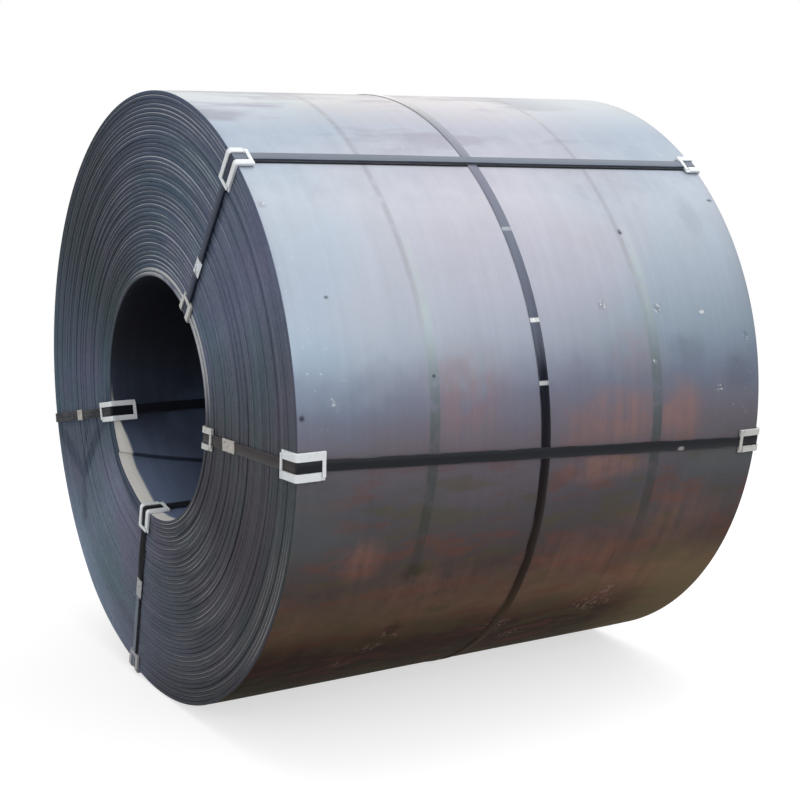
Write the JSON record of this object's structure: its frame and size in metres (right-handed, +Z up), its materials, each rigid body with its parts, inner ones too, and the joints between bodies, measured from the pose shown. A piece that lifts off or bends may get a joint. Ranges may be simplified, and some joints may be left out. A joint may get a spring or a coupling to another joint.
{
  "type": "steel coil",
  "caption": "Hot-rolled steel strip wound into a coil, lying on its barrel, held by flat steel straps through the eye and round the middle with edge protectors.",
  "frame": {"origin": "middle of the barrel's lowest line, on the floor under the centre of the coil", "axes": "+X along the coil's axis from the near end, where the seals are, to the far end; +Z up"},
  "size_m": [1.6358, 1.9011, 1.8926],
  "materials": {
    "strip_steel": "hot-rolled mill scale, blue-grey, semi-gloss, with patches of orange and brown rust and pale scuffs",
    "strap_steel": "dark waxed strapping steel, satin",
    "seal_steel": "bare crimped steel, dull",
    "protector_paint": "white coated sheet, satin"
  },
  "bodies": {
    "root": {"coil": "strip_steel", "circumferential_strap": "strap_steel", "eye_strap_upper": "strap_steel", "seal_upper": "seal_steel", "protector_upper_near_outer": "protector_paint", "protector_upper_near_inner": "protector_paint", "protector_upper_far_outer": "protector_paint", "protector_upper_far_inner": "protector_paint", "eye_strap_front": "strap_steel", "seal_front": "seal_steel", "protector_front_near_outer": "protector_paint", "protector_front_near_inner": "protector_paint", "protector_front_far_outer": "protector_paint", "protector_front_far_inner": "protector_paint", "eye_strap_bottom": "strap_steel", "seal_bottom": "seal_steel", "protector_bottom_near_outer": "protector_paint", "protector_bottom_near_inner": "protector_paint", "protector_bottom_far_outer": "protector_paint", "protector_bottom_far_inner": "protector_paint", "eye_strap_rear": "strap_steel", "seal_rear": "seal_steel", "protector_rear_near_inner": "protector_paint", "protector_rear_far_outer": "protector_paint", "protector_rear_far_inner": "protector_paint"}
  },
  "joints": []
}
